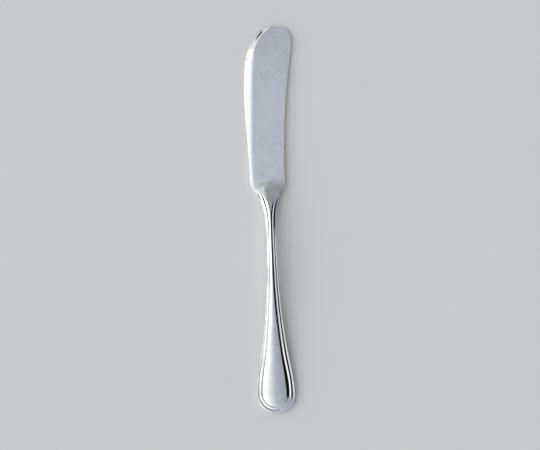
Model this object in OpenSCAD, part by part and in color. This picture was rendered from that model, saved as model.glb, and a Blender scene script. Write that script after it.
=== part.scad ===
// Butter knife: a small flat-handled table spreader, one solid piece of
// polished stainless steel. The broad rounded handle carries a raised centre
// panel inside a double-thread border, both faces alike; it narrows to a deep
// slim neck, flares over two shoulders into the blade, and the blade widens to
// a blunt rounded tip that leans towards the spine. The neck's front runs down
// onto the heel of the blade as a ridge, steeper on the belly's side.
//
// Frame: millimetres, +Y from the handle's end to the blade's tip, +Z up, the
// cutting edge on the -X side and the spine on the +X side. The origin is
// under the middle of the knife's outline, on the surface it lies on.
// Inside this file, s is the distance from the handle's end along the knife,
// and every table is written for a knife 170 mm long.

/* [Overall] */
// Length from the handle's end to the blade's tip
knife_l = 170; // [150:1:185]

/* [Handle] */
// Width at the broad rounded end
handle_w = 16.8; // [14:0.2:19]
// Thickness of the handle at its rim
rim_t = 1.3; // [0.9:0.1:1.8]
// Narrowest width, at the neck
neck_w = 4.3; // [3.6:0.1:5.6]
// Depth of the neck at its sides
neck_t = 2.8; // [2.2:0.1:3.4]

/* [Thread border] */
// Width of the whole border at the broad end, rim to centre panel
border_w = 3.9; // [3:0.1:4.6]
// Depth of the groove inside the outer thread
groove_d = 0.09; // [0.04:0.01:0.14]
// Height of the inner thread above the rim
bead_rise = 0.27; // [0.16:0.01:0.34]
// Height that the centre panel's edge stands above the rim
panel_rise = 0.72; // [0.4:0.02:0.86]
// Slope of the domed centre panel at its edge, in degrees
panel_slope = 13.5; // [6:0.5:18]
// Relief of the back face as a share of the front's
back_share = 0.6; // [0.4:0.05:1]

/* [Blade] */
// Width over everything, from the belly to the spine's outer corner
blade_w = 21.4; // [18:0.2:25]
// Thickness at the heel
heel_t = 2.1; // [1.7:0.1:2.5]
// Thickness at the tip
tip_t = 1.6; // [1.3:0.1:1.9]
// Thickness left along the cutting edge
edge_t = 0.6; // [0.4:0.1:0.8]
// How far the cutting edge lies below the middle of the blade's thickness
edge_low = 0.2; // [0:0.05:0.25]
// Widest part of the bevel along the cutting edge
bevel_w = 4.15; // [2.6:0.05:4.6]
// Height of the neck's ridge where it comes down onto the heel
ridge_h = 0.43; // [0.1:0.01:0.5]

/* [Side profile] */
// Rise of the neck above the straight line from handle end to blade
arch_h = 3.1; // [1.6:0.1:4]

/* [Hidden] */

ky = knife_l / 170;             // stretch along the knife
kb = (blade_w - 4.3) / 17.1;    // stretch of the blade's two sides
neck_h = neck_w / 2;
end_r = handle_w / 2;           // the handle's end is almost a half circle
S0 = 8.4;                       // where that end meets the handle's sides
S1 = 160;                       // where the blade's sides meet the tip
NECK = 79;                      // the narrowest place
bar_h = rim_t / 2;
sole_cut = 0.3;                 // the sole is drawn this much too deep, then cut flat

// Handle's side, from 1 at the broad end to 0 at the neck
HANDLE = [[8.4, 1], [16, 0.9], [24, 0.68], [32, 0.482], [40, 0.318], [48, 0.2],
          [56, 0.113], [64, 0.052], [72, 0.014], [79, 0]];
// Distance of the spine and of the belly from the handle's centre line
SPINE = [[92, 7.06], [100, 6.97], [108, 6.92], [116, 7.07], [124, 7.42], [132, 7.98],
         [140, 8.72], [150, 9.97], [160, 11.35]];
BELLY = [[92, 7.75], [100, 8.15], [108, 8.5], [116, 8.83], [124, 9.22], [132, 9.62],
         [140, 9.78], [150, 9.33], [160, 7.42]];
// Outline of the tip: reach by bearing, from the spine's side round to the belly
TIP_AT = [2, 160];
TIP = [[0, 9.35], [20, 10.22], [40, 11.3], [60, 11.05], [80, 10.17], [100, 9.5],
       [120, 8.92], [140, 8.4], [160, 8.5], [180, 9.42]];
// Width of the two threads together, and of the whole border, by distance
THREADS = [[0, 2.75], [5, 2.65], [11, 2.42], [26, 2.33], [38, 2], [50, 1.77], [62, 1.55],
           [76, 1.4], [84, 1.46], [88, 1.6], [92, 1.85], [98, 2.5]];
BORDER = [[0, 3.9], [14, 3.9], [26, 3.4], [38, 2.95], [50, 2.75], [62, 2.4], [76, 2.06],
          [84, 2.2], [92, 2.6], [100, 3.4]];
// Half depth of the bar at its sides, from 0 at the broad end to 1 at the neck
BAR = [[0, 0], [14, 0.01], [32, 0.2], [48, 0.52], [64, 0.86], [79, 1]];
// Rise of the middle of the metal, from 0 at both ends to 1 at the top
ARCH = [[0, 0], [14, 0.1], [32, 0.42], [50, 0.8], [66, 1], [76, 0.96], [86, 0.68],
        [92, 0.4], [96, 0.17], [99, 0.03], [101, 0], [106, 0]];
// The ridge from the neck: its height, 1 at the highest, and its distance from
// the handle's centre line
STEP = [[90, 0], [93, 0.349], [96, 0.837], [98, 1], [99.5, 0.86], [101, 0.681], [102.4, 0.528],
        [103.7, 0.4], [106, 0.221], [109, 0.074], [112, 0.014], [115, 0]];
RIDGE = [[87, 0.1], [90, 0], [92, -0.35], [94.4, -0.75], [97, -1.3], [98.5, -1.7], [101, 1.2],
         [103.5, 4], [110, 5]];
// Width of the bevel round the blade: 160 is the belly's end, 180 the spine's
BEVEL = [[88, 1.2], [96, 1.4], [101, 1.8], [106, 2.1], [111, 2.15], [116, 2.4], [122, 2.9],
         [128, 3.3], [134, 3.75], [140, 4], [147, 4.15], [153, 4.15], [158, 3.6], [161, 2.95],
         [163.5, 2.4], [166, 2.15], [168.5, 1.65], [171, 1.05], [175, 0.65], [180, 0.5]];
round_off = 0.13;               // how quickly the front rolls over into the bevel, per mm
roll_on = 1.7;                  // the distance over which it goes on turning
swell = 0.1;                    // half the extra depth of the bar behind the heel

function clamp(v) = min(1, max(0, v));
function ease(v) = let (t = clamp(v)) t * t * (3 - 2 * t);
function mix(a, b, t) = a + (b - a) * t;

// ---- smooth curves through the tables ----
function rate(T, i) = (T[i + 1][1] - T[i][1]) / (T[i + 1][0] - T[i][0]);
function span(T, i) = T[i + 1][0] - T[i][0];
// Tangents that make the curve's bend continuous, found by relaxation
function relax(T, m, n) = n == 0 ? m : relax(T,
    [for (i = [0 : len(T) - 1]) (i == 0 || i == len(T) - 1) ? m[i] :
        (3 * (span(T, i) * rate(T, i - 1) + span(T, i - 1) * rate(T, i))
         - span(T, i) * m[i - 1] - span(T, i - 1) * m[i + 1])
        / (2 * (span(T, i - 1) + span(T, i)))], n - 1);
function fair(T, d0, d1) = relax(T,
    [for (i = [0 : len(T) - 1]) i == 0 ? d0 : i == len(T) - 1 ? d1 :
        (rate(T, i - 1) + rate(T, i)) / 2], 24);
function at(T, M, v) =
    let (q = min(max(v, T[0][0]), T[len(T) - 1][0]),
         i = min(len([for (p = T) if (p[0] <= q) 1]) - 1, len(T) - 2),
         w = span(T, i), t = (q - T[i][0]) / w)
    (2 * t * t * t - 3 * t * t + 1) * T[i][1] + (t * t * t - 2 * t * t + t) * w * M[i]
    + (3 * t * t - 2 * t * t * t) * T[i + 1][1] + (t * t * t - t * t) * w * M[i + 1];

HANDLE_M = fair(HANDLE, 0, 0);
SPINE_M = fair(SPINE, -0.01, 0.135);
BELLY_M = fair(BELLY, 0.05, -0.36);
THREADS_M = fair(THREADS, 0, 0.12);
BORDER_M = fair(BORDER, 0, 0.1);
BAR_M = fair(BAR, 0, 0);
ARCH_M = fair(ARCH, 0.006, 0);
BEVEL_M = fair(BEVEL, 0.02, 0);
STEP_M = fair(STEP, 0, 0);
RIDGE_M = fair(RIDGE, 0, 0);

// ---- outline ----
// The lesser of two distances, blended where they meet
function soft_min(a, b, k) = let (h = max(k - abs(a - b), 0) / k) min(a, b) - h * h * h * k / 6;
function handle_side(s) = neck_h + (end_r - neck_h) * at(HANDLE, HANDLE_M, s);
function flare(s, reach, p) = neck_h + reach * pow(max(0, s - NECK) / 20, p);
function spine_side(s) = neck_h + (at(SPINE, SPINE_M, s) - 2.15) * kb;
function belly_side(s) = neck_h + (at(BELLY, BELLY_M, s) - 2.15) * kb;
function right_side(s) = s < NECK ? handle_side(s)
    : soft_min(flare(s, 4.45 * kb, 3.5), spine_side(s), 1.6);
function left_side(s) = s < NECK ? handle_side(s)
    : soft_min(flare(s, 5.6 * kb, 3.05), belly_side(s), 2.6);

TIP_M = fair(TIP, 0.135 * TIP[0][1] * PI / 180, 0.36 * TIP[9][1] * PI / 180);
tip_r0 = (right_side(S1) - TIP_AT[0] * kb) / TIP[0][1];
tip_r1 = (left_side(S1) + TIP_AT[0] * kb) / TIP[9][1];
tip_reach = max([for (b = [60 : 2 : 100]) at(TIP, TIP_M, b) * sin(b)]);
function tip_point(b) = let (r = at(TIP, TIP_M, b))
    [TIP_AT[0] * kb + r * cos(b) * mix(tip_r0, tip_r1, b / 180),
     (S1 + r * sin(b) * (170 - S1) / tip_reach) * ky];

// Stations along the two sides, closer together at the shoulders
STATIONS = concat([for (i = [0 : 23]) mix(S0, 87, i / 24)],
                  [for (i = [0 : 17]) mix(87, 105, i / 18)],
                  [for (i = [0 : 18]) mix(105, S1, i / 18)]);
n_side = len(STATIONS);
n_end = 9;
n_tip = 22;

// One entry per point of the outline, counter-clockwise from the handle's end:
// [x, y, s, round position for the bevel, centre line index, +1 spine or -1 belly]
function end_x(a) = end_r * pow(sin(a), 0.952);
function end_s(a) = S0 * (1 - pow(cos(a), 0.952));
LOOP = concat(
    [for (k = [0 : n_end - 1]) let (a = 90 * k / n_end)
        [end_x(a), end_s(a) * ky, end_s(a), 240, 0, 1]],
    [for (j = [0 : n_side - 1]) let (s = STATIONS[j])
        [right_side(s), s * ky, s, 340 - s, j, 1]],
    [for (k = [1 : n_tip - 1]) let (b = 180 * k / n_tip, p = tip_point(b))
        [p[0], p[1], p[1] / ky, 180 - b / 9, n_side - 1, b < 90 ? 1 : -1]],
    [for (j = [n_side - 1 : -1 : 0]) let (s = STATIONS[j])
        [-left_side(s), s * ky, s, s, j, -1]],
    [for (k = [n_end - 1 : -1 : 1]) let (a = 90 * k / n_end)
        [-end_x(a), end_s(a) * ky, end_s(a), 0, 0, -1]]);
N = len(LOOP);
x_mid = (max([for (p = LOOP) p[0]]) + min([for (p = LOOP) p[0]])) / 2;

// Unit vector pointing inwards at a point of the outline
function inward(i) = let (a = LOOP[(i + N - 1) % N], b = LOOP[(i + 1) % N],
    dx = b[0] - a[0], dy = b[1] - a[1], l = sqrt(dx * dx + dy * dy)) [-dy / l, dx / l];

// Centre line, from the middle of the handle's end to the middle of the tip
MIDDLE = [for (j = [0 : n_side - 1]) let (s = STATIONS[j])
    [(right_side(s) - left_side(s)) / 2, s * ky, s]];

// ---- heights ----
function blade_h(s) = mix(heel_t, tip_t, clamp((s - 104) / 66)) / 2
    + swell * (1 - ease((s - 90) / 9));
function bar(s) = s < NECK ? mix(bar_h, neck_t / 2, at(BAR, BAR_M, s))
    : mix(neck_t / 2, blade_h(s), ease((s - NECK) / 24));
function half_width(s) = s < S0 ? end_r : (left_side(s) + right_side(s)) / 2;
kw = border_w / 3.9;            // stretch of the border's width
// The border is narrower on the spine's side of the heel
function slim(s, side) = side > 0 ? 1 - 0.25 * ease((s - 83) / 10) : 1;
function border(s, side = -1) = min(at(BORDER, BORDER_M, s) * kw, 0.97 * half_width(s)) * slim(s, side);
function threads(s, side = -1) =
    min(at(THREADS, THREADS_M, s) * kw * slim(s, side), 0.8 * border(s, side));
function blade_share(s) = ease((s - 92) / 10);
// The panel and its border run out at the heel, later on the belly's side
function panel_share(s, side) = 1 - ease((s - 89.5) / (side < 0 ? 8 : 5));
function middle_share(s) = (panel_share(s, -1) + panel_share(s, 1)) / 2;
// The threads are worn lower along one side of the handle
function worn(s, side) = side < 0 ? 0.75 * ease((s - 14) / 10) * (1 - ease((s - 56) / 16)) : 0;
function thread_share(s, side) = (1 - worn(s, side))
    * (1 - ease((s - (side < 0 ? 93.5 : 90.5)) / (side < 0 ? 4.5 : 4)));
function end_share(s) = 1 - ease((s - 3.5) / 5);
function neck_share(s) = ease((s - 76) / 8) * (1 - ease((s - 93) / 3));
function groove(s) = groove_d * (1 - 0.45 * ease((s - 14) / 36));
// The first groove deepens again over the belly's shoulder
function side_groove(s, side) = groove(s) * (side < 0 ? 1 + 1.6 * ease((s - 84) / 8) : 1);
// Height of the panel's edge above the rim
function wall(s, share) = let (low = bead_rise - 1.6 * groove(s))
    (low * threads(s) / (2.4 * kw)
     + (panel_rise - low) * (border(s) - threads(s)) / (1.5 * kw)) * share;
function dome(s, reach, share) = 0.5 * reach * tan(panel_slope) * share;

// From 0 to 1 with an even slope between two rounded corners
function flank(v, c = 0.12) = let (u = clamp(v))
    (u < c ? u * u / (2 * c) : u < 1 - c ? u - c / 2 : 1 - c - (1 - u) * (1 - u) / (2 * c)) / (1 - c);
// From 0 to rise, leaving with slope end instead of level
function last_flank(v, rise, end, c = 0.12) =
    let (u = clamp(v), k = (rise - end * c / 2) / (1 - c), x = max(0, u - (1 - c)))
    u < c ? k * u * u / (2 * c) : k * (u - c / 2) + (end - k) * x * x / (2 * c);
// Flanks between the distances K with the heights V, leaving with slope m
function section(d, K, V, m) =
    let (n = len(K) - 1, i = min(len([for (k = K) if (k <= d) 1]) - 1, n - 1),
         w = K[i + 1] - K[i], u = (d - K[i]) / w)
    V[i] + (i < n - 1 ? (V[i + 1] - V[i]) * flank(u) : last_flank(u, V[n] - V[n - 1], m * w));

// Where the inner thread starts and where it crests, as shares of the threads' width
function near(s) = 1 - ease((s - 10) / 14);
function thread_foot(s) = 0.37 + 0.03 * near(s);
function thread_crest(s) = 0.67 + 0.015 * near(s) + 0.04 * (1 - ease((s - 26) / 8));
// Outward slope of the threads along the belly's side of the handle
function lean(s, side) = side < 0 ? 0.15 * ease((s - 16) / 14) * (1 - ease((s - 52) / 14)) : 0;
// Relief of the border over the bar, at distance d in from the outline: a
// groove, the inner thread, a second groove and the wall up to the panel
function side_relief(s, side, d) =
    let (t = threads(s, side), b = border(s, side),
         g = t / (2.4 * kw) * thread_share(s, side), gr = side_groove(s, side))
    lean(s, side) * (d < t ? d - t / 2 : t / 2 * (1 - flank((d - t) / (b - t))))
    + section(d, [0, 0.1 * t, thread_foot(s) * t, thread_crest(s) * t, t, b],
            [0, 0, -gr * g, bead_rise * g, (bead_rise - 1.6 * gr) * g, wall(s, panel_share(s, side))],
            tan(panel_slope) * panel_share(s, side))
    - 0.42 * neck_share(s) * max(0, thread_foot(s) * t - d);
// Round the end the outer thread is a bead of its own and the second groove is
// shallow; towards the spine's side the first one runs out
function end_relief(s, side, d) =
    let (t = threads(s), b = border(s), g = t / (2.4 * kw), low = side > 0 ? ease(s / 1.2) : 0)
    section(d, [0, 0.1 * t, 0.36 * t, 0.56 * t, 0.78 * t, t, b],
            [-0.1, -0.1, mix(0.04, -0.06, low), mix(-groove(s) - 0.06, 0.08 * bead_rise, low) * g,
             mix(0.85, 0.6, low) * bead_rise * g, mix(0.7, 0.78, low) * bead_rise * g, wall(s, 1)],
            tan(panel_slope));
function relief(s, side, d) =
    let (e = end_share(s), a = side_relief(s, side, d))
    e > 0 ? mix(a, end_relief(min(s, 12), side, d), e) : a;
function rounded(d, r) = d >= r ? 1 : sqrt(1 - pow(1 - d / r, 2));

// Front and back of the handle above and below the middle of the metal
function handle_height(s, side, d, share) =
    (bar(s) + share * relief(s, side, d)) * rounded(d, 0.1 * threads(s, side));
// The same for the blade; deep is the extra depth that the sole is drawn with
function edge_share(q) = 1 - ease((q - 168) / 9);
function edge_drop(s, q) = edge_low * edge_share(q) * blade_share(s);
function bevel(q, back) = max(0.5, at(BEVEL, BEVEL_M, q) * bevel_w / 4.15) * (back ? 0.6 : 1);
// Fall of the bevel's surface at x outwards from its inner edge, tighter round the tip's corner
function fall(x, q) =
    mix(round_off, 0.36, ease((q - 155) / 8) * (1 - ease((q - 168.5) / 2)))
    * (x < roll_on ? x * x / 2 : roll_on * (x - roll_on / 2));
function roll(x, h, q, whole) = fall(x, q) * min(1, (h + edge_low - edge_t / 2) / fall(whole, q));
function front_bevel(h, q, d) = let (b = bevel(q, false))
    d < 0.22 ? (h - roll(b - 0.22, h, q, b - 0.22) + edge_low) * rounded(d, 0.22) - edge_low
    : h - roll(max(0, b - d), h, q, b - 0.22);
function back_bevel(h, q, d, deep) =
    let (b = bevel(q, true), e = min(edge_t / 2, h - edge_low - 0.1), rise = h - edge_low - e)
    d < 0.22 ? edge_low + e * rounded(d, 0.22)
    : edge_low + e + rise * min(max(0, (d - 0.22) / (b - 0.22)), 1 + deep / rise);
// The spine's upper corner is eased at about 41 degrees, the lower one is round
function eased(h, d) = let (x = max(0, 0.5 - d))
    (h - 0.88 * (x < 0.12 ? x * x / 0.24 : x - 0.06)) * rounded(d, 0.1);
function blade_height(s, q, d, back, deep) = let (h = blade_h(s))
    mix(back ? (h + deep) * rounded(d, 0.9) : eased(h, d),
        back ? back_bevel(h, q, d, deep) : front_bevel(h, q, d), edge_share(q));

function height(i, d, back) =
    let (p = LOOP[i], s = p[2], w = blade_share(s))
    mix(w < 1 ? handle_height(s, p[5], d, back ? back_share : 1) : 0,
        w > 0 ? blade_height(s, p[3], d, back, back ? depth_extra(s) : 0) : 0, w);
function depth_extra(s) = sole_cut * ease((s - 97) / 6);

// Where the handle's end has to sit so that its back just meets the table
function arch(s) = arch_h * at(ARCH, ARCH_M, s);
function back_depth(s) = bar(s) + back_share * (wall(s, 1) + dome(s, half_width(s) - border(s), 1));
end_z = max([for (s = [S0 : 1 : 30])
    (back_depth(s) - arch(s) - heel_t / 2 * s / 104) / (1 - s / 104)]) + 0.01;
function middle_z(s) = arch(s)
    + mix(mix(end_z, heel_t / 2, s / 104), blade_h(s), ease((s - 88) / 18));
// What the neck's ridge adds to the front at the heel: steep towards the belly,
// level from the ridge to the spine
function step_up(x, s) =
    let (h = ridge_h * at(STEP, STEP_M, s),
         foot = -(left_side(s) - 0.85 * threads(s) * (1 - ease((s - 94) / 3.5))),
         top = at(RIDGE, RIDGE_M, s) * kb)
    h * flank((x - foot) / max(0.6, top - foot), 0.15);

// ---- rings of points, at distances in from the outline ----
// On the handle they follow the corners of the border's grooves and threads
function handle_rings(s, side) =
    let (t = threads(s, side), b = border(s, side), e = end_share(s),
         k1 = mix(thread_foot(s), 0.56, e), k2 = mix(thread_crest(s), 0.78, e))
    [0, 0.02 * t, 0.05 * t, 0.1 * t, mix(0.2, 0.36, e) * t, (k1 - 0.015) * t, (k1 + 0.018) * t,
     (k2 - 0.018) * t, (k2 + 0.02) * t, 0.982 * t, mix(t, b, 0.06), mix(t, b, 0.94), b];
function spine_rings(back) = back
    ? [0, 0.03, 0.1, 0.22, 0.36, 0.5, 0.7, 0.9, 1.1, 1.35, 1.6, 1.9, 2.2]
    : [0, 0.02, 0.05, 0.1, 0.25, 0.38, 0.44, 0.5, 0.8, 1.1, 1.4, 1.8, 2.2];
function belly_rings(q, back) = let (b = bevel(q, back), far = back ? b * 1.5 + 0.3 : b + 0.5)
    [0, 0.02, 0.08, 0.22, mix(0.22, b, 0.18), mix(0.22, b, 0.36), mix(0.22, b, 0.54),
     mix(0.22, b, 0.7), mix(0.22, b, 0.85), b, mix(b, far, 0.3), mix(b, far, 0.65), far];
function rings(i, back) =
    let (p = LOOP[i], s = p[2], w = ease((s - 92) / 10), k = edge_share(p[3]),
         S = spine_rings(back), B = belly_rings(p[3], back), H = handle_rings(s, p[5]))
    [for (r = [0 : 12]) mix(H[r], mix(S[r], B[r], k), w)];

n_ring = 12;    // rings inside the outline, on each face
n_in = 2;       // further rings between the last of them and the centre line

function face_z(x, s, sign, h) = middle_z(s) + sign * h + (sign > 0 ? step_up(x, s) : 0);
function ring_point(i, r, D, sign) =
    let (p = LOOP[i], n = inward(i), d = D[r], x = p[0] + d * n[0], y = p[1] + d * n[1])
    [x, y, face_z(x, y / ky, sign, height(i, d, sign < 0))];

// A centre line point stands on the same rule: panel's edge plus the dome
function middle_height(j, sign) =
    let (s = MIDDLE[j][2], share = sign > 0 ? 1 : back_share, m = middle_share(s),
         hh = bar(s) + share * (wall(s, m) + dome(s, max(0, half_width(s) - border(s)), m)),
         bh = blade_h(s) + (sign > 0 ? 0 : depth_extra(s)))
    mix(hh, bh, blade_share(s));
function middle_point(j, sign) = [MIDDLE[j][0], MIDDLE[j][1],
    face_z(MIDDLE[j][0], MIDDLE[j][2], sign, middle_height(j, sign))];

// Rows of one face: [point on each ring ..., points towards the centre line]
function face_row(i, sign) =
    let (D = rings(i, sign < 0), e = ring_point(i, n_ring, D, sign), m = MIDDLE[LOOP[i][4]],
         he = height(i, D[n_ring], sign < 0), hm = middle_height(LOOP[i][4], sign))
    concat([for (r = [1 : n_ring]) ring_point(i, r, D, sign)],
           [for (k = [1 : n_in]) let (t = k / (n_in + 1), x = mix(e[0], m[0], t), y = mix(e[1], m[1], t))
               [x, y, face_z(x, y / ky, sign, he + (hm - he) * t * (2 - t))]]);

n_row = n_ring + n_in;
FRONT = [for (i = [0 : N - 1]) face_row(i, 1)];
BACK = [for (i = [0 : N - 1]) face_row(i, -1)];

// Vertices: the outline, then the front's rows and centre line, then the back's
POINTS = concat(
    [for (p = LOOP) [p[0], p[1],
        middle_z(p[2]) - edge_drop(p[2], p[3]) + 0.5 * step_up(p[0], p[2])]],
    [for (r = [0 : n_row - 1]) for (i = [0 : N - 1]) FRONT[i][r]],
    [for (j = [0 : n_side - 1]) middle_point(j, 1)],
    [for (r = [0 : n_row - 1]) for (i = [0 : N - 1]) BACK[i][r]],
    [for (j = [0 : n_side - 1]) middle_point(j, -1)]);
front0 = N;
front_mid = N * (1 + n_row);
back0 = front_mid + n_side;
back_mid = back0 + N * n_row;

// Two triangles between neighbouring rows; flip turns them for the back
function quad(a, b, c, d, flip) = flip ? [[a, b, c], [a, c, d]] : [[a, c, b], [a, d, c]];
function ring_index(base, r, i) = r < 0 ? i % N : base + r * N + i % N;
function face_triangles(base, mid, flip) = concat(
    [for (r = [-1 : n_row - 2]) for (i = [0 : N - 1])
        each quad(ring_index(base, r, i), ring_index(base, r, i + 1),
                  ring_index(base, r + 1, i + 1), ring_index(base, r + 1, i), flip)],
    [for (i = [0 : N - 1])
        let (a = ring_index(base, n_row - 1, i), b = ring_index(base, n_row - 1, i + 1),
             ma = mid + LOOP[i][4], mb = mid + LOOP[(i + 1) % N][4])
        each (ma == mb ? (flip ? [[a, b, ma]] : [[a, ma, b]]) : quad(a, b, mb, ma, flip))]);

// The forged blank with its border, panel, neck and blade in one skin
module blank() {
    polyhedron(points = POINTS, faces = concat(
        face_triangles(front0, front_mid, false),
        face_triangles(back0, back_mid, true)), convexity = 8);
}

// The flat that the blade lies on, ground across its underside
module sole() {
    translate([-blade_w, 94 * ky, -3]) cube([2 * blade_w, 90 * ky, 3]);
}

module knife() {
    color([0.74, 0.74, 0.78])
    translate([-x_mid, -knife_l / 2, 0])
    difference() {
        blank();
        sole();
    }
}

knife();
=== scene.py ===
import math

import bpy
import numpy as np
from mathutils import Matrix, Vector


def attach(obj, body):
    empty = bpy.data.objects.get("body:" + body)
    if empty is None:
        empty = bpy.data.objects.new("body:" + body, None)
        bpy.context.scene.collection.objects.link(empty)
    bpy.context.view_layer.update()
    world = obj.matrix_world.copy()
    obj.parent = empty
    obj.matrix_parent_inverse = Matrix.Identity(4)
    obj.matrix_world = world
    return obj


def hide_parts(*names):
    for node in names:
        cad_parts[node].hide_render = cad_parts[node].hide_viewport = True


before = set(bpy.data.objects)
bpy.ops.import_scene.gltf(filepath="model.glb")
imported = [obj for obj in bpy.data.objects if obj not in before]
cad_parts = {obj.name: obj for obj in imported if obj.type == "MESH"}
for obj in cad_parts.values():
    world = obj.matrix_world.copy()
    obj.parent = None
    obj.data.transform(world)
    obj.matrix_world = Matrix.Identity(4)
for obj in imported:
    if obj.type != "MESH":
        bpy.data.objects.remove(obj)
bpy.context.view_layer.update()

# ---------------------------------------------------------------- the shape
# The same curves as the part's, in millimetres, s from the handle's end, but
# evaluated finely enough that a mirror finish shows no facets.
L, HW, RIM, NECKW, NECKT = 170.0, 16.8, 1.3, 4.3, 2.8
GROOVE, BEAD, RISE, SLOPE, BACK = 0.09, 0.27, 0.72, math.tan(math.radians(13.5)), 0.6
HEEL, TIPT, EDGE, LOW, ARCHH, SOLE = 2.1, 1.6, 0.6, 0.2, 3.1, 0.3
ROUND, ROLL, SWELL = 0.13, 1.7, 0.1
S0, S1, NECK = 8.4, 160.0, 79.0
NH, ER, BAR0 = NECKW / 2, HW / 2, RIM / 2

HANDLE = [[8.4, 1], [16, 0.9], [24, 0.68], [32, 0.482], [40, 0.318], [48, 0.2],
          [56, 0.113], [64, 0.052], [72, 0.014], [79, 0]]
SPINE = [[92, 7.06], [100, 6.97], [108, 6.92], [116, 7.07], [124, 7.42], [132, 7.98],
         [140, 8.72], [150, 9.97], [160, 11.35]]
BELLY = [[92, 7.75], [100, 8.15], [108, 8.5], [116, 8.83], [124, 9.22], [132, 9.62],
         [140, 9.78], [150, 9.33], [160, 7.42]]
TIP_AT = (2.0, 160.0)
TIP = [[0, 9.35], [20, 10.22], [40, 11.3], [60, 11.05], [80, 10.17], [100, 9.5],
       [120, 8.92], [140, 8.4], [160, 8.5], [180, 9.42]]
THREADS = [[0, 2.75], [5, 2.65], [11, 2.42], [26, 2.33], [38, 2], [50, 1.77], [62, 1.55], [76, 1.4], [84, 1.46],
           [88, 1.6], [92, 1.85], [98, 2.5]]
BORDER = [[0, 3.9], [14, 3.9], [26, 3.4], [38, 2.95], [50, 2.75], [62, 2.4], [76, 2.06],
          [84, 2.2], [92, 2.6], [100, 3.4]]
BAR = [[0, 0], [14, 0.01], [32, 0.2], [48, 0.52], [64, 0.86], [79, 1]]
ARCH = [[0, 0], [14, 0.1], [32, 0.42], [50, 0.8], [66, 1], [76, 0.96], [86, 0.68],
        [92, 0.4], [96, 0.17], [99, 0.03], [101, 0], [106, 0]]
# The step up from the blade to the neck's ridge: its height, and the ridge's place
STEP = [[90, 0], [93, 0.15], [96, 0.36], [98, 0.43], [99.5, 0.37], [101, 0.293], [102.4, 0.227], [103.7, 0.172],
        [106, 0.095], [109, 0.032], [112, 0.006], [115, 0]]
RIDGE = [[87, 0.1], [90, 0], [92, -0.35], [94.4, -0.75], [97, -1.3], [98.5, -1.7], [101, 1.2], [103.5, 4], [110, 5]]
BEVEL = [[88, 1.2], [96, 1.4], [101, 1.8], [106, 2.1], [111, 2.15], [116, 2.4], [122, 2.9],
         [128, 3.3], [134, 3.75], [140, 4], [147, 4.15], [153, 4.15], [158, 3.6], [161, 2.95],
         [163.5, 2.4], [166, 2.15], [168.5, 1.65], [171, 1.05], [175, 0.65], [180, 0.5]]


def ease(t):
    t = np.clip(t, 0, 1)
    return t * t * (3 - 2 * t)


def mix(a, b, t):
    return a + (b - a) * t


def fair(table, d0, d1):
    """Tangents that make the curve's bend continuous."""
    T = np.array(table, float)
    h, r = np.diff(T[:, 0]), np.diff(T[:, 1]) / np.diff(T[:, 0])
    m = np.concatenate([[d0], (r[:-1] + r[1:]) / 2, [d1]])
    for _ in range(60):
        m[1:-1] = (3 * (h[1:] * r[:-1] + h[:-1] * r[1:]) - h[1:] * m[:-2] - h[:-1] * m[2:]) \
            / (2 * (h[:-1] + h[1:]))
    return T, m


def at(curve, v):
    T, m = curve
    x, y = T[:, 0], T[:, 1]
    q = np.clip(np.asarray(v, float), x[0], x[-1])
    i = np.clip(np.searchsorted(x, q, side="right") - 1, 0, len(x) - 2)
    w = x[i + 1] - x[i]
    t = (q - x[i]) / w
    return ((2 * t**3 - 3 * t**2 + 1) * y[i] + (t**3 - 2 * t**2 + t) * w * m[i]
            + (3 * t**2 - 2 * t**3) * y[i + 1] + (t**3 - t**2) * w * m[i + 1])


c_handle, c_spine, c_belly = fair(HANDLE, 0, 0), fair(SPINE, -0.01, 0.135), fair(BELLY, 0.05, -0.36)
c_threads, c_border = fair(THREADS, 0, 0.12), fair(BORDER, 0, 0.1)
c_bar, c_arch, c_bevel = fair(BAR, 0, 0), fair(ARCH, 0.006, 0), fair(BEVEL, 0.02, 0)
c_step, c_ridge = fair(STEP, 0, 0), fair(RIDGE, 0, 0)
c_tip = fair(TIP, 0.135 * TIP[0][1] * math.pi / 180, 0.36 * TIP[9][1] * math.pi / 180)


def soft_min(a, b, k):
    h = np.maximum(k - np.abs(a - b), 0) / k
    return np.minimum(a, b) - h**3 * k / 6


def handle_side(s):
    return NH + (ER - NH) * at(c_handle, s)


def flare(s, reach, p):
    return NH + reach * (np.maximum(0, s - NECK) / 20) ** p


def right_side(s):
    s = np.asarray(s, float)
    return np.where(s < NECK, handle_side(s), soft_min(flare(s, 4.45, 3.5), at(c_spine, s), 1.6))


def left_side(s):
    s = np.asarray(s, float)
    return np.where(s < NECK, handle_side(s), soft_min(flare(s, 5.6, 3.05), at(c_belly, s), 2.6))


tip_r0 = (float(right_side(S1)) - TIP_AT[0]) / TIP[0][1]
tip_r1 = (float(left_side(S1)) + TIP_AT[0]) / TIP[9][1]
_b = np.linspace(60, 100, 401)
tip_reach = float(np.max(at(c_tip, _b) * np.sin(np.radians(_b))))


def tip_point(b):
    r, a = at(c_tip, b), np.radians(b)
    return TIP_AT[0] + r * np.cos(a) * mix(tip_r0, tip_r1, b / 180), \
        S1 + r * np.sin(a) * (L - S1) / tip_reach


def blade_h(s):
    return mix(HEEL, TIPT, np.clip((s - 104) / 66, 0, 1)) / 2 + SWELL * (1 - ease((s - 90) / 9))


def bar(s):
    return np.where(s < NECK, mix(BAR0, NECKT / 2, at(c_bar, s)),
                    mix(NECKT / 2, blade_h(s), ease((s - NECK) / 24)))


def half_width(s):
    return np.where(s < S0, ER, (left_side(s) + right_side(s)) / 2)


def slim(s, side):
    """The border is narrower on the spine's side of the heel."""
    return 1 - 0.25 * ease((s - 83) / 10) * (side > 0)


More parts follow.
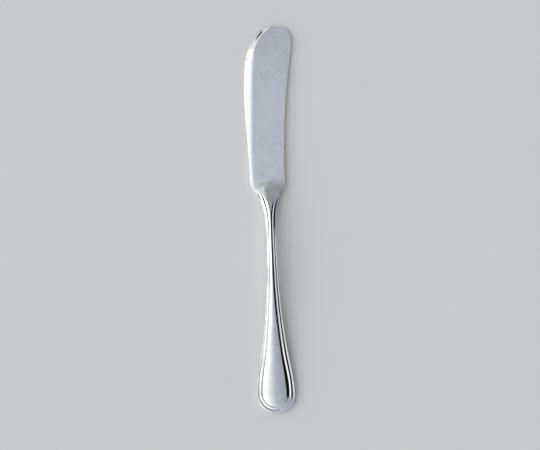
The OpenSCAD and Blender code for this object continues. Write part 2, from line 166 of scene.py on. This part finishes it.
def border(s, side=-1):
    return np.minimum(at(c_border, s), 0.97 * half_width(s)) * slim(s, side)


def threads(s, side=-1):
    return np.minimum(at(c_threads, s) * slim(s, side), 0.8 * border(s, side))


def blade_share(s):
    return ease((s - 92) / 10)


def panel_share(s, side):
    """The panel's wall stops short on the spine's side of the heel."""
    return 1 - ease((s - np.where(side < 0, 89.5, 89.5)) / np.where(side < 0, 8.0, 5.0))


def middle_share(s):
    return (panel_share(s, np.array(-1)) + panel_share(s, np.array(1))) / 2


def thread_share(s, side):
    worn = 0.75 * ease((s - 14) / 10) * (1 - ease((s - 56) / 16)) * (side < 0)
    return (1 - worn) * (1 - ease((s - np.where(side < 0, 93.5, 90.5)) / np.where(side < 0, 4.5, 4.0)))


def end_share(s):
    return 1 - ease((s - 3.5) / 5)


def neck_share(s):
    return ease((s - 76) / 8) * (1 - ease((s - 93) / 3))


def groove(s):
    return GROOVE * (1 - 0.45 * ease((s - 14) / 36))


def wall(s, share):
    """Height of the panel's edge above the rim."""
    low = BEAD - 1.6 * groove(s)
    return (low * threads(s) / 2.4 + (RISE - low) * (border(s) - threads(s)) / 1.5) * share


def dome(s, reach, share):
    return 0.5 * reach * SLOPE * share


def flank(u, c=0.12):
    """From 0 to 1 with an even slope between two rounded corners."""
    u = np.clip(u, 0, 1)
    return np.where(u < c, u * u / (2 * c), np.where(u < 1 - c, u - c / 2, 1 - c - (1 - u) ** 2 / (2 * c))) / (1 - c)


def last_flank(u, rise, end, c=0.12):
    """The same, leaving with slope end instead of level."""
    u = np.clip(u, 0, 1)
    k = (rise - end * c / 2) / (1 - c)
    x = np.maximum(0, u - (1 - c))
    return np.where(u < c, k * u * u / (2 * c), k * (u - c / 2) + (end - k) * x * x / (2 * c))


def section(d, k, v, m):
    """Flanks between the distances k with the heights v, leaving with slope m."""
    out = np.zeros(np.broadcast(k[1], d).shape)
    for i in range(len(k) - 2):
        out = np.where(d >= k[i], v[i] + (v[i + 1] - v[i]) * flank((d - k[i]) / (k[i + 1] - k[i])), out)
    w = k[-1] - k[-2]
    return np.where(d >= k[-2], v[-2] + last_flank((d - k[-2]) / w, v[-1] - v[-2], m * w), out)


def corners(s):
    """Where the inner thread starts and crests, as shares of the threads' width,
    on the handle's sides and with the end's own section mixed in."""
    near, e = 1 - ease((s - 10) / 14), end_share(s)
    k1, k2 = 0.37 + 0.03 * near, 0.67 + 0.015 * near + 0.04 * (1 - ease((s - 26) / 8))
    return k1, k2, mix(k1, 0.56, e), mix(k2, 0.78, e)


def lean(s, side):
    """Outward slope of the threads along the belly's side of the handle."""
    return 0.15 * ease((s - 16) / 14) * (1 - ease((s - 52) / 14)) * (side < 0)


def relief(s, side, d):
    """The border's section over the bar, d in from the outline."""
    t, b = threads(s, side), border(s, side)
    g = t / 2.4 * thread_share(s, side)
    ps, gr = panel_share(s, side), groove(s) * (1 + 1.6 * ease((s - 84) / 8) * (side < 0))
    w, m, o = wall(s, ps), SLOPE * ps, np.zeros_like(t)
    k1, k2, _, _ = corners(s)
    drop = 0.42 * neck_share(s) * np.maximum(0, k1 * t - d)
    run_in = section(d, [o, 0.1 * t, k1 * t, k2 * t, t, b], [o, o, -gr * g, BEAD * g, (BEAD - 1.6 * gr) * g, w], m)
    run_in = run_in + lean(s, side) * np.where(d < t, d - t / 2, t / 2 * (1 - flank((d - t) / (b - t))))
    # round the end the outer thread is a plain bead and the second groove is shallow
    low = np.minimum(s, 12)
    t, b = threads(low), border(low)
    low = ease(s / 1.2) * (side > 0)        # towards the spine's side the groove runs out
    end = section(d, [o, 0.1 * t, 0.36 * t, 0.56 * t, 0.78 * t, t, b],
                  [o - 0.1, o - 0.1, mix(o + 0.04, -0.06, low), mix(-gr - 0.06, 0.08 * BEAD, low) * g,
                   mix(0.85, 0.6, low) * BEAD * g, mix(0.7, 0.78, low) * BEAD * g, w], m)
    return mix(run_in, end, end_share(s)) - drop


def rounded(d, r):
    return np.where(d >= r, 1.0, np.sqrt(np.maximum(0, 1 - (1 - np.minimum(d / r, 1)) ** 2)))


def handle_height(s, side, d, share):
    return (bar(s) + share * relief(s, side, d)) * rounded(d, 0.1 * threads(s, side))


def edge_share(q):
    return 1 - ease((q - 168) / 9)


def bevel(q, back):
    return np.maximum(0.5, at(c_bevel, q)) * (0.6 if back else 1.0)


def roll(x, h, q, whole=None):
    """Fall of the bevel's surface at x outwards from its inner edge."""
    tight = mix(ROUND, 0.36, ease((q - 155) / 8) * (1 - ease((q - 168.5) / 2)))

    def fall(v):
        return tight * np.where(v < ROLL, v * v / 2, ROLL * (v - ROLL / 2))
    most = fall(x if whole is None else whole)
    return fall(x) * np.minimum(1, (h + LOW - EDGE / 2) / most)


def blade_height(s, q, d, back, deep):
    b, h = bevel(q, back), blade_h(s)
    if back:
        e = np.minimum(EDGE / 2, h - LOW - 0.1)
        f = (d - 0.22) / (b - 0.22)
        grind = np.minimum(np.maximum(f, 0), 1 + deep / (h - LOW - e))
        ground = np.where(d < 0.22, LOW + e * rounded(d, 0.22), LOW + e + (h - LOW - e) * grind)
    else:
        ground = np.where(d < 0.22, (h - roll(b - 0.22, h, q) + LOW) * rounded(d, 0.22) - LOW,
                          h - roll(np.maximum(0, b - d), h, q, b - 0.22))
    # the spine's upper corner is eased at about 41 degrees
    x = np.maximum(0, 0.5 - d)
    eased = (h - 0.88 * np.where(x < 0.12, x * x / 0.24, x - 0.06)) * rounded(d, 0.1)
    spine = (h + deep) * rounded(d, 0.9) if back else eased
    return mix(spine, ground, edge_share(q))


def arch(s):
    return ARCHH * at(c_arch, s)


def step_up(x, s):
    """The front's height over the blade at the heel: a ridge that comes down
    from the neck, steep towards the belly and level towards the spine."""
    foot = -(left_side(s) - 0.85 * threads(s) * (1 - ease((s - 94) / 3.5)))
    ridge = at(c_ridge, s)
    return at(c_step, s) * flank((x - foot) / np.maximum(0.6, ridge - foot), 0.15)


_s = np.linspace(S0, 30, 200)
_deep = bar(_s) + BACK * (wall(_s, 1.0) + dome(_s, half_width(_s) - border(_s), 1.0))
end_z = float(np.max((_deep - arch(_s) - HEEL / 2 * _s / 104) / (1 - _s / 104))) + 0.01


def middle_z(s):
    return arch(s) + mix(mix(end_z, HEEL / 2, s / 104), blade_h(s), ease((s - 88) / 18))


# The outline as one loop, counter-clockwise from the handle's end
stations = np.concatenate([np.linspace(S0, 86, 190, endpoint=False),
                           np.linspace(86, 105, 90, endpoint=False),
                           np.linspace(105, S1, 126)])
ns = len(stations)
a_end = np.radians(np.linspace(0, 90, 46)[:-1])
b_tip = np.linspace(0, 180, 105)[1:-1]
ex, es = ER * np.sin(a_end) ** 0.952, S0 * (1 - np.cos(a_end) ** 0.952)
tx, ts = tip_point(b_tip)
X = np.concatenate([ex, right_side(stations), tx, -left_side(stations)[::-1], -ex[:0:-1]])
Y = np.concatenate([es, stations, ts, stations[::-1], es[:0:-1]])
Q = np.concatenate([np.full(len(ex), 240.0), 340 - stations, 180 - b_tip / 9, stations[::-1],
                    np.zeros(len(ex) - 1)])
C = np.concatenate([np.zeros(len(ex)), np.arange(ns), np.full(len(tx), ns - 1), np.arange(ns)[::-1],
                    np.zeros(len(ex) - 1)]).astype(int)
side = np.concatenate([np.ones(len(ex)), np.ones(ns), np.where(b_tip < 90, 1, -1), -np.ones(ns),
                       -np.ones(len(ex) - 1)])
N = len(X)
x_mid = (X.max() + X.min()) / 2
dx, dy = np.roll(X, -1) - np.roll(X, 1), np.roll(Y, -1) - np.roll(Y, 1)
dl = np.hypot(dx, dy)
nx, ny = -dy / dl, dx / dl

# Distance run along the outline from the neck, the same on both sides
arc = np.concatenate([[0], np.cumsum(np.hypot(np.diff(X), np.diff(Y)))])
i_r0, i_r1 = len(ex), len(ex) + ns - 1
i_l1, i_l0 = i_r1 + len(tx) + 1, N - len(ex)
run = Y.copy()
run[:i_r0] = S0 - (arc[i_r0] - arc[:i_r0])
run[i_l0 + 1:] = S0 - (arc[i_l0 + 1:] - arc[i_l0])
half = (arc[i_l1] - arc[i_r1]) / 2
run[i_r1:i_l1 + 1] = S1 + half - np.abs(arc[i_r1:i_l1 + 1] - arc[i_r1] - half)

mid_x = (right_side(stations) - left_side(stations)) / 2
sc = Y[:, None]


def rings(back):
    """Distances in from the outline, one row of them for each point of the loop."""
    t, b = threads(Y, side), border(Y, side)
    r = 0.1 * t
    turn = 1 - np.cos(np.radians(np.array([0, 8, 20, 34, 48, 62, 76, 90])))
    up = lambda n: np.arange(1, n + 1) / n
    _, _, k1, k2 = corners(Y)
    H = np.concatenate([np.outer(r, turn), r[:, None] + np.outer((k1 - 0.1) * t, [0.08, 0.3, 0.6, 0.88, 1]),
                        (k1 * t)[:, None] + np.outer((k2 - k1) * t, [0.06, 0.12, 0.5, 0.88, 0.94, 1]),
                        (k2 * t)[:, None] + np.outer((1 - k2) * t, [0.12, 0.5, 0.88, 0.94, 1]),
                        t[:, None] + np.outer(b - t, [0.06, 0.12, 0.3, 0.5, 0.7, 0.88, 0.91, 0.94, 0.97, 1])], 1)
    n = H.shape[1]
    S = np.concatenate([0.9 * turn, 0.9 + 1.3 * up(n - 8)] if back else
                       [[0, 0.008, 0.03, 0.06, 0.1, 0.25, 0.37, 0.44], np.linspace(0.5, 2.2, n - 8)])
    S = S[None, :] * np.ones((N, 1))
    w = bevel(Q, back)
    far = w * 1.5 + 0.3 if back else w + 0.5
    B = np.concatenate([0.22 * turn[None, :] * np.ones((N, 1)),
                        0.22 + np.outer(w - 0.22, up(n - 12)),
                        w[:, None] + np.outer(far - w, up(4))], 1)
    k, wb = edge_share(Q)[:, None], ease((Y - 92) / 10)[:, None]
    return mix(H, mix(S, B, k), wb)


def face(back):
    """Positions of one face, row by row, with the distance in and the border's depth, a mask of its grooves that
    darkens the colour there as patina and as painted shade.
    """
    sign, share = (-1, BACK) if back else (1, 1.0)
    D = rings(back)
    px, py = X[:, None] + D * nx[:, None], Y[:, None] + D * ny[:, None]
    deep = SOLE * ease((sc - 97) / 6) if back else 0.0
    hh = handle_height(sc, side[:, None], D, share)
    bh = blade_height(sc, Q[:, None], D, back, deep)
    # past the last ring the surface goes on to the centre line
    t = (np.arange(1, 12) / 12)[None, :]
    mx, ms = mid_x[C][:, None], stations[C][:, None]
    ix, iy = mix(px[:, -1:], mx, t), mix(py[:, -1:], ms, t)
    bm = bar(ms) + share * (wall(ms, middle_share(ms)) + dome(ms, np.maximum(0, half_width(ms) - border(ms)), middle_share(ms)))
    ih = hh[:, -1:] + (bm - hh[:, -1:]) * t * (2 - t)
    ib = np.where(edge_share(Q)[:, None] * (1 if back else 0) > 0,
                  bh[:, -1:] + (blade_h(ms) + (SOLE * ease((ms - 97) / 6) if back else 0) - bh[:, -1:]) * t,
                  blade_h(iy) + (SOLE * ease((iy - 97) / 6) if back else 0))
    px, py = np.concatenate([px, ix], 1), np.concatenate([py, iy], 1)
    hh, bh = np.concatenate([hh, ih], 1), np.concatenate([bh, ib], 1)
    wb = blade_share(sc)
    z = middle_z(py) + sign * mix(hh, bh, wb)
    if not back:
        z = z + step_up(px, py)
    dist = np.concatenate([D, D[:, -1:] + np.hypot(ix - px[:, D.shape[1] - 1:D.shape[1]],
                                                   iy - py[:, D.shape[1] - 1:D.shape[1]])], 1)
    th = threads(sc, side[:, None])
    # mask of the two grooves: rougher steel there, and a darker colour that is partly patina of less polishing and
    # partly painted shade
    groove_patina_and_painted_shade = (np.exp(-((dist - 0.4 * th) / (0.12 * th)) ** 2) + np.exp(-((dist - th) / (0.17 * th)) ** 2)) \
        * thread_share(sc, side[:, None])
    return px, py, z, dist, groove_patina_and_painted_shade


def build():
    px, py, z, dist, groove_patina_and_painted_shade = face(False)
    bx, by, bz, bdist, back_groove_patina_and_painted_shade = face(True)
    rows = px.shape[1]
    # ring 0 is the outline itself, shared by both faces
    drop = LOW * edge_share(Q) * blade_share(Y)
    z0 = middle_z(Y) - drop + 0.5 * step_up(X, Y)
    ring0 = np.stack([X, Y, z0], 1)
    mz = middle_z(stations)
    over = wall(stations, middle_share(stations)) + dome(
        stations, np.maximum(0, half_width(stations) - border(stations)), middle_share(stations))
    half_f, half_b = bar(stations) + over, bar(stations) + BACK * over
    wb = blade_share(stations)
    top = mz + mix(half_f, blade_h(stations), wb) + step_up(mid_x, stations)
    bot = mz - mix(half_b, blade_h(stations) + SOLE * ease((stations - 97) / 6), wb)
    verts = [ring0]
    for P in ((px, py, z), (bx, by, bz)):
        for r in range(1, rows):
            verts.append(np.stack([P[0][:, r], P[1][:, r], P[2][:, r]], 1))
        verts.append(np.stack([mid_x, stations, top if P[2] is z else bot], 1))
    V = np.concatenate(verts)
    # the flat on the blade's underside
    V[:, 2] = np.where(V[:, 1] > 93, 0.5 * (V[:, 2] + np.sqrt(V[:, 2] ** 2 + 0.02**2)) - 0.002, V[:, 2])
    V[:, 2] = np.maximum(V[:, 2], 0)
    V[:, 0] -= x_mid
    V[:, 1] -= L / 2
    front, fmid = N, N + N * (rows - 1)
    back, bmid = fmid + ns, fmid + ns + N * (rows - 1)
    faces = []
    i = np.arange(N)
    j = (i + 1) % N
    for base, mid, flip in ((front, fmid, False), (back, bmid, True)):
        prev = None
        for r in range(1, rows):
            cur = base + (r - 1) * N
            a0, a1 = (i, j) if r == 1 else (prev + i, prev + j)
            b0, b1 = cur + i, cur + j
            q = np.stack([a0, a1, b1, b0] if not flip else [a0, b0, b1, a1], 1)
            faces.extend(q.tolist())
            prev = cur
        for k in range(N):
            a, b = prev + k, prev + (k + 1) % N
            ca, cb = mid + int(C[k]), mid + int(C[(k + 1) % N])
            f = [a, b, ca] if ca == cb else [a, b, cb, ca]
            faces.append(f if not flip else f[::-1])
    extra = {}
    wbl = blade_share(Y)

    def pack(name, f0, ff, fm, bf, bm_):
        extra[name] = np.concatenate([f0, ff.T[1:].ravel(), fm, bf.T[1:].ravel(), bm_])
    across_f = mix(dist, px * side[:, None] * -1 + 20, wbl[:, None])
    across_b = mix(bdist, bx * side[:, None] * -1 + 20, wbl[:, None])
    pack("inset", np.zeros(N), dist, half_width(stations), bdist, half_width(stations))
    pack("across", mix(np.zeros(N), X * side * -1 + 20, wbl), across_f,
         mix(half_width(stations), mid_x * 0 + 20, wb), across_b, mix(half_width(stations), mid_x * 0 + 20, wb))
    run_f = np.repeat(run[:, None], rows, 1)
    pack("run", run, run_f, stations, run_f, stations)
    # the grooves' mask for the material: patina and painted shade in the grooves
    pack("groove_patina_and_painted_shade", groove_patina_and_painted_shade[:, 0], groove_patina_and_painted_shade, np.zeros(ns), back_groove_patina_and_painted_shade, np.zeros(ns))
    return V, faces, extra


V, F, ATTR = build()
mesh = bpy.data.meshes.new("knife_body")
mesh.from_pydata((V * 0.001).tolist(), [], F)
mesh.validate()
mesh.update()
mesh.polygons.foreach_set("use_smooth", np.ones(len(mesh.polygons), bool))
for name, values in ATTR.items():
    layer = mesh.attributes.new(name, "FLOAT", "POINT")
    layer.data.foreach_set("value", values.astype(np.float32))
knife = bpy.data.objects.new("knife_body", mesh)
bpy.context.scene.collection.objects.link(knife)
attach(knife, "root")
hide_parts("knife")


# ---------------------------------------------------------------- materials
class Nodes:
    def __init__(self, tree):
        self.t = tree
        tree.nodes.clear()

    def add(self, kind, **put):
        n = self.t.nodes.new(kind)
        for k, v in put.items():
            setattr(n, k, v)
        return n

    def link(self, a, b):
        self.t.links.new(a, b)

    def math(self, op, a, b=None, c=None, clamp=False):
        n = self.add("ShaderNodeMath", operation=op, use_clamp=clamp)
        for k, v in enumerate((a, b, c)):
            if v is None:
                continue
            if isinstance(v, (int, float)):
                n.inputs[k].default_value = float(v)
            else:
                self.link(v, n.inputs[k])
        return n.outputs[0]

    def ramp(self, value, stops, interpolation="LINEAR"):
        n = self.add("ShaderNodeValToRGB")
        n.color_ramp.interpolation = interpolation
        e = n.color_ramp.elements
        e[0].position, e[0].color = stops[0][0], stops[0][1]
        e[1].position, e[1].color = stops[-1][0], stops[-1][1]
        for p, c in stops[1:-1]:
            x = e.new(p)
            x.color = c
        self.link(value, n.inputs[0])
        return n.outputs[0]

    def noise(self, vector, scale, detail=2.0, rough=0.5):
        n = self.add("ShaderNodeTexNoise")
        n.inputs["Scale"].default_value = scale
        n.inputs["Detail"].default_value = detail
        n.inputs["Roughness"].default_value = rough
        self.link(vector, n.inputs["Vector"])
        return n.outputs["Fac"]

    def map_range(self, value, a, b, c, d, kind="LINEAR"):
        n = self.add("ShaderNodeMapRange", interpolation_type=kind)
        n.clamp = True
        for k, v in zip(("From Min", "From Max", "To Min", "To Max"), (a, b, c, d)):
            n.inputs[k].default_value = v
        self.link(value, n.inputs["Value"])
        return n.outputs["Result"]


def steel():
    m = bpy.data.materials.new("polished_steel")
    m.use_nodes = True
    g = Nodes(m.node_tree)
    out, bsdf = g.add("ShaderNodeOutputMaterial"), g.add("ShaderNodeBsdfPrincipled")
    g.link(bsdf.outputs[0], out.inputs["Surface"])
    bsdf.inputs["Metallic"].default_value = 1.0
    bsdf.inputs["IOR"].default_value = 2.5
    co = g.add("ShaderNodeTexCoord").outputs["Object"]
    attr = {k: g.add("ShaderNodeAttribute", attribute_name=k).outputs["Fac"]
            for k in ("across", "run", "groove_patina_and_painted_shade", "inset")}

    def stretched(kx, ky, kz=0.0):
        c = g.add("ShaderNodeCombineXYZ")
        g.link(g.math("MULTIPLY", attr["across"], kx), c.inputs[0])
        g.link(g.math("MULTIPLY", attr["run"], ky), c.inputs[1])
        c.inputs[2].default_value = kz
        return c.outputs[0]

    lines = g.noise(stretched(9.0, 0.16, 1.3), 1.0, 4.0, 0.6)       # fine lengthwise polishing lines
    lines2 = g.noise(stretched(2.6, 0.05, 7.7), 1.0, 3.0, 0.55)     # broader, longer ones
    cloud = g.noise(co, 90.0, 3.0, 0.5)                             # handling marks
    haze = g.noise(co, 28.0, 2.0, 0.5)
    smear = g.noise(co, 230.0, 3.0, 0.55)
    spots = g.noise(co, 640.0, 3.0, 0.6)
    wear = g.map_range(g.noise(co, 420.0, 5.0, 0.65), 0.56, 0.74, 0.0, 1.0)   # small scuffs
    flat = g.add("ShaderNodeSeparateXYZ")
    g.link(co, flat.inputs[0])

    def scratch(angle, along, across, seed, least):
        """Hairlines at an angle to the knife, where a stretched noise peaks."""
        a = math.radians(angle)
        c = g.add("ShaderNodeCombineXYZ")
        for n, (kx, ky) in enumerate(((math.cos(a) * across, math.sin(a) * across),
                                      (-math.sin(a) * along, math.cos(a) * along))):
            g.link(g.math("ADD", g.math("MULTIPLY", flat.outputs[0], kx), g.math("MULTIPLY", flat.outputs[1], ky)),
                   c.inputs[n])
        c.inputs[2].default_value = seed
        return g.map_range(g.noise(c.outputs[0], 1.0, 2.0, 0.5), least, least + 0.06, 0.0, 1.0)

    hairs = g.math("MAXIMUM", scratch(24.0, 70.0, 2300.0, 2.1, 0.68), scratch(-52.0, 90.0, 2600.0, 5.4, 0.7))

    rough = g.math("ADD", g.map_range(lines, 0.3, 0.7, 0.06, 0.11), g.map_range(cloud, 0.35, 0.7, 0.0, 0.045))
    rough = g.math("ADD", rough, g.math("MULTIPLY", wear, 0.05))
    rough = g.math("ADD", rough, g.math("MULTIPLY", hairs, 0.08))
    rough = g.math("ADD", rough, g.math("MULTIPLY", attr["groove_patina_and_painted_shade"], 0.03))
    g.link(rough, bsdf.inputs["Roughness"])

    tone = g.math("ADD", g.map_range(lines2, 0.3, 0.7, -0.016, 0.016), g.map_range(haze, 0.35, 0.65, -0.016, 0.016))
    tone = g.math("ADD", tone, g.map_range(smear, 0.3, 0.7, -0.036, 0.036))
    tone = g.math("ADD", tone, g.map_range(spots, 0.3, 0.7, -0.042, 0.042))
    # darker colour in the grooves' mask: partly patina, partly painted shade
    tone = g.math("SUBTRACT", g.math("ADD", tone, 0.825), g.math("MULTIPLY", attr["groove_patina_and_painted_shade"], 0.04))
    tone = g.math("SUBTRACT", tone, g.math("MULTIPLY", wear, 0.03))
    tone = g.math("ADD", tone, g.math("MULTIPLY", hairs, 0.05))
    warm = g.map_range(g.noise(co, 60.0, 2.0, 0.5), 0.35, 0.65, -0.01, 0.01)
    col = g.add("ShaderNodeCombineColor")
    g.link(g.math("MULTIPLY", tone, g.math("ADD", 0.995, warm)), col.inputs[0])
    g.link(tone, col.inputs[1])
    g.link(g.math("MULTIPLY", tone, g.math("SUBTRACT", 1.006, warm)), col.inputs[2])
    g.link(col.outputs[0], bsdf.inputs["Base Color"])

    height = g.math("ADD", g.math("MULTIPLY", lines, 0.35), g.math("MULTIPLY", lines2, 0.5))
    height = g.math("ADD", height, g.math("MULTIPLY", cloud, 0.5))
    height = g.math("SUBTRACT", height, g.math("MULTIPLY", hairs, 0.15))
    bump = g.add("ShaderNodeBump")
    bump.inputs["Strength"].default_value = 0.25
    bump.inputs["Distance"].default_value = 0.000012
    g.link(height, bump.inputs["Height"])
    g.link(bump.outputs[0], bsdf.inputs["Normal"])
    return m


def pale():
    m = bpy.data.materials.new("pale_floor")
    m.use_nodes = True
    g = Nodes(m.node_tree)
    out, bsdf = g.add("ShaderNodeOutputMaterial"), g.add("ShaderNodeBsdfPrincipled")
    g.link(bsdf.outputs[0], out.inputs["Surface"])
    bsdf.inputs["Specular IOR Level"].default_value = 0.1
    co = g.add("ShaderNodeTexCoord").outputs["Object"]
    tone = g.map_range(g.noise(co, 60.0, 4.0, 0.6), 0.3, 0.7, 0.73, 0.745)
    col = g.add("ShaderNodeCombineColor")
    g.link(tone, col.inputs[0])
    g.link(tone, col.inputs[1])
    g.link(g.math("MULTIPLY", tone, 0.99), col.inputs[2])
    g.link(col.outputs[0], bsdf.inputs["Base Color"])
    g.link(g.map_range(g.noise(co, 200.0, 2.0, 0.5), 0.3, 0.7, 0.75, 0.9), bsdf.inputs["Roughness"])
    return m


knife.data.materials.append(steel())

# ---------------------------------------------------------------- studio
half_floor = 30.0
floor_mesh = bpy.data.meshes.new("floor")
floor_mesh.from_pydata([(-half_floor, -half_floor, -0.00004), (half_floor, -half_floor, -0.00004),
                        (half_floor, half_floor, -0.00004), (-half_floor, half_floor, -0.00004)], [], [(0, 1, 2, 3)])
floor = bpy.data.objects.new("floor", floor_mesh)
bpy.context.scene.collection.objects.link(floor)
floor.data.materials.append(pale())


FAR = 3.0       # brightness of the window far out on the -X side


def linear(r, g, b):
    """Light that the steel shows as this picture brightness."""
    out = []
    for c in (r, g, b):
        c /= 255
        out.append((c / 12.92 if c <= 0.04045 else ((c + 0.055) / 1.055) ** 2.4) / 0.82)
    return out


def studio():
    """Soft light by direction: u and v are the slope of the facet that would
    reflect that direction straight up, u towards +X and v towards +Y."""
    w = bpy.data.worlds.new("studio")
    bpy.context.scene.world = w
    w.use_nodes = True
    g = Nodes(w.node_tree)
    out, bg = g.add("ShaderNodeOutputWorld"), g.add("ShaderNodeBackground")
    g.link(bg.outputs[0], out.inputs["Surface"])
    sep = g.add("ShaderNodeSeparateXYZ")
    g.link(g.add("ShaderNodeTexCoord").outputs["Generated"], sep.inputs[0])
    up = g.math("ADD", g.math("MAXIMUM", sep.outputs[2], -0.5), 1.0)
    u = g.math("DIVIDE", sep.outputs[0], up)
    v = g.math("DIVIDE", sep.outputs[1], up)
    rho = g.math("SQRT", g.math("ADD", g.math("MULTIPLY", u, u), g.math("MULTIPLY", v, v)))
    turn = g.math("MULTIPLY", g.math("ARCTAN2", v, u), 180 / math.pi)

    def soft(value, a, b):
        return g.map_range(value, a, b, 0.0, 1.0, "SMOOTHSTEP")

    def less(value):
        return g.math("SUBTRACT", 1.0, value)

    def blend(factor, a, b, how="MIX"):
        m = g.add("ShaderNodeMix", data_type="RGBA", blend_type=how)
        g.link(factor, m.inputs["Factor"])
        for name, x in (("A", a), ("B", b)):
            socket = [q for q in m.inputs if q.type == "RGBA" and q.name == name][0]
            if isinstance(x, tuple):
                socket.default_value = x
            else:
                g.link(x, socket)
        return [o for o in m.outputs if o.type == "RGBA"][0]

    def scale(colour, factor):
        n = g.add("ShaderNodeVectorMath", operation="SCALE")
        g.link(colour, n.inputs[0])
        g.link(factor, n.inputs["Scale"])
        return n.outputs[0]

    # from a bright window on the -X side to the dim +X side
    k = 0.837
    place = [-1.2, -0.52, -0.36, -0.26, -0.18, -0.12, -0.06, 0, 0.06, 0.12, 0.18, 0.24, 0.31, 0.40, 1.2]
    tone = [[FAR] * 3, [FAR] * 3, [1.5] * 3, [1.2] * 3, linear(229, 233, 233), linear(208, 213, 214),
            linear(194, 199, 204), linear(177, 181, 191), linear(173, 177, 186), linear(167, 171, 179),
            linear(160, 165, 172), linear(154, 160, 166), linear(148, 155, 158), [0.004] * 3, [0.004] * 3]
    grey = tone[:-2] + [linear(130, 136, 140), linear(125, 132, 135)]
    top = 4.0
    pos = g.map_range(u, -1.2 * k, 1.2 * k, 0.0, 1.0)

    def sweep(tones):
        return g.ramp(pos, [((x + 1.2) / 2.4, (c[0] / top, c[1] / top, c[2] / top, 1)) for x, c in zip(place, tones)])

    light = blend(soft(turn, -31.0, -18.0), sweep(grey), sweep(tone))
    # dimmer towards +Y
    left = g.math("MINIMUM", g.math("ADD", u, 0.01), 0.0)
    near = g.math("EXPONENT", g.math("MULTIPLY", g.math("MULTIPLY", left, left), -400.0))
    dim = g.math("MULTIPLY", g.math("MULTIPLY", soft(v, 0.035, 0.105), near),
                 less(g.math("MULTIPLY", soft(rho, 0.5, 0.8), 0.9)))
    light = blend(dim, light, (0.62, 0.61, 0.59, 1), "MULTIPLY")
    # and a little dimmer straight up over the handle
    back = g.math("MULTIPLY", v, -1.0)
    over = g.math("MULTIPLY", g.math("MULTIPLY", soft(back, 0.034, 0.052), less(soft(back, 0.07, 0.12))),
                  less(soft(g.math("ABSOLUTE", g.math("ADD", u, 0.02)), 0.14, 0.22)))
    light = scale(light, less(g.math("MULTIPLY", over, 0.07)))
    # a dimmer band of the window towards the handle's end
    lower = g.math("MULTIPLY", g.math("MULTIPLY", soft(back, 0.1, 0.24), soft(rho, 0.46, 0.58)),
                   g.math("MULTIPLY", soft(g.math("MULTIPLY", u, -1.0), 0.05, 0.2), less(soft(rho, 0.7, 0.8))))
    light = scale(light, less(g.math("MULTIPLY", lower, 0.5)))
    # lighter towards the handle's end
    end = g.math("MULTIPLY", soft(back, 0.25, 0.5),
                 less(soft(g.math("ABSOLUTE", g.math("ADD", turn, 102.0)), 14.0, 30.0)))
    light = scale(light, g.math("ADD", 1.0, g.math("MULTIPLY", end, 0.25)))
    # dark towards +X and +Y
    corner = g.math("MULTIPLY", g.math("MULTIPLY", soft(turn, 8.0, 22.0), less(soft(turn, 62.0, 84.0))),
                    g.math("MULTIPLY", soft(rho, 0.24, 0.33), less(soft(rho, 0.54, 0.62))))
    light = scale(light, less(g.math("MULTIPLY", corner, 0.95)))
    # a strip of light low on the +X side
    aside = g.math("ABSOLUTE", g.math("SUBTRACT", turn, 10.0))
    strip = g.math("MULTIPLY", soft(rho, 0.72, 0.82), less(soft(aside, 60.0, 85.0)))
    wide = g.math("MULTIPLY", soft(rho, 0.56, 0.66),
                  g.math("MULTIPLY", soft(turn, 18.0, 34.0), less(soft(turn, 98.0, 112.0))))
    light = blend(g.math("MAXIMUM", strip, wide), light, (1 / top, 1 / top, 1 / top, 1))
    # the window is softer towards +Y
    calm = g.math("MULTIPLY", g.math("MULTIPLY", soft(turn, 80.0, 100.0), less(soft(turn, 149.0, 162.0))),
                  g.math("MULTIPLY", soft(rho, 0.26, 0.36), less(soft(rho, 0.56, 0.68))))
    light = blend(calm, light, (0.83 / top, 0.84 / top, 0.87 / top, 1), "DARKEN")
    # and in a narrow band a little towards -Y
    calm = g.math("MULTIPLY", g.math("MULTIPLY", soft(back, 0.01, 0.04), less(soft(back, 0.14, 0.28))),
                  g.math("MULTIPLY", soft(rho, 0.445, 0.485), less(soft(rho, 0.58, 0.68))))
    light = blend(g.math("MULTIPLY", calm, soft(g.math("MULTIPLY", u, -1.0), 0.2, 0.35)), light,
                  (0.72 / top, 0.72 / top, 0.73 / top, 1), "DARKEN")
    # a second window with a dark bar across it, towards -X and +Y
    pane = g.math("MULTIPLY", g.math("MULTIPLY", soft(turn, 105.0, 114.0), less(soft(turn, 142.0, 149.5))),
                  soft(rho, 0.17, 0.22))
    light = blend(pane, light, (0.95 / top, 0.95 / top, 0.95 / top, 1))
    bar_ = g.math("MULTIPLY", g.math("MULTIPLY", soft(rho, 0.3, 0.36), less(soft(rho, 0.57, 0.62))),
                  g.math("MULTIPLY", soft(turn, 120.0, 127.0), less(soft(turn, 139.5, 143.5))))
    light = scale(light, less(g.math("MULTIPLY", bar_, 0.99)))
    # pale all round at eye level
    low = g.map_range(sep.outputs[2], 0.08, 0.16, 1.0, 0.0)
    light = blend(low, light, (0.7 / top, 0.705 / top, 0.71 / top, 1))
    g.link(light, bg.inputs["Color"])
    bg.inputs["Strength"].default_value = top


studio()

cam = bpy.data.cameras.new("camera")
cam.lens, cam.sensor_width = 135.0, 36.0
cam.clip_start, cam.clip_end = 0.01, 200.0
camera = bpy.data.objects.new("camera", cam)
bpy.context.scene.collection.objects.link(camera)
distance = 0.2375 * cam.lens / cam.sensor_width
camera.location = (-0.001165, -0.00215, 0.0018 + distance)
camera.rotation_euler = (0.0, 0.0, -math.atan(0.0336))
bpy.context.scene.camera = camera
bpy.context.scene.view_settings.view_transform = "Standard"

bpy.context.view_layer.update()
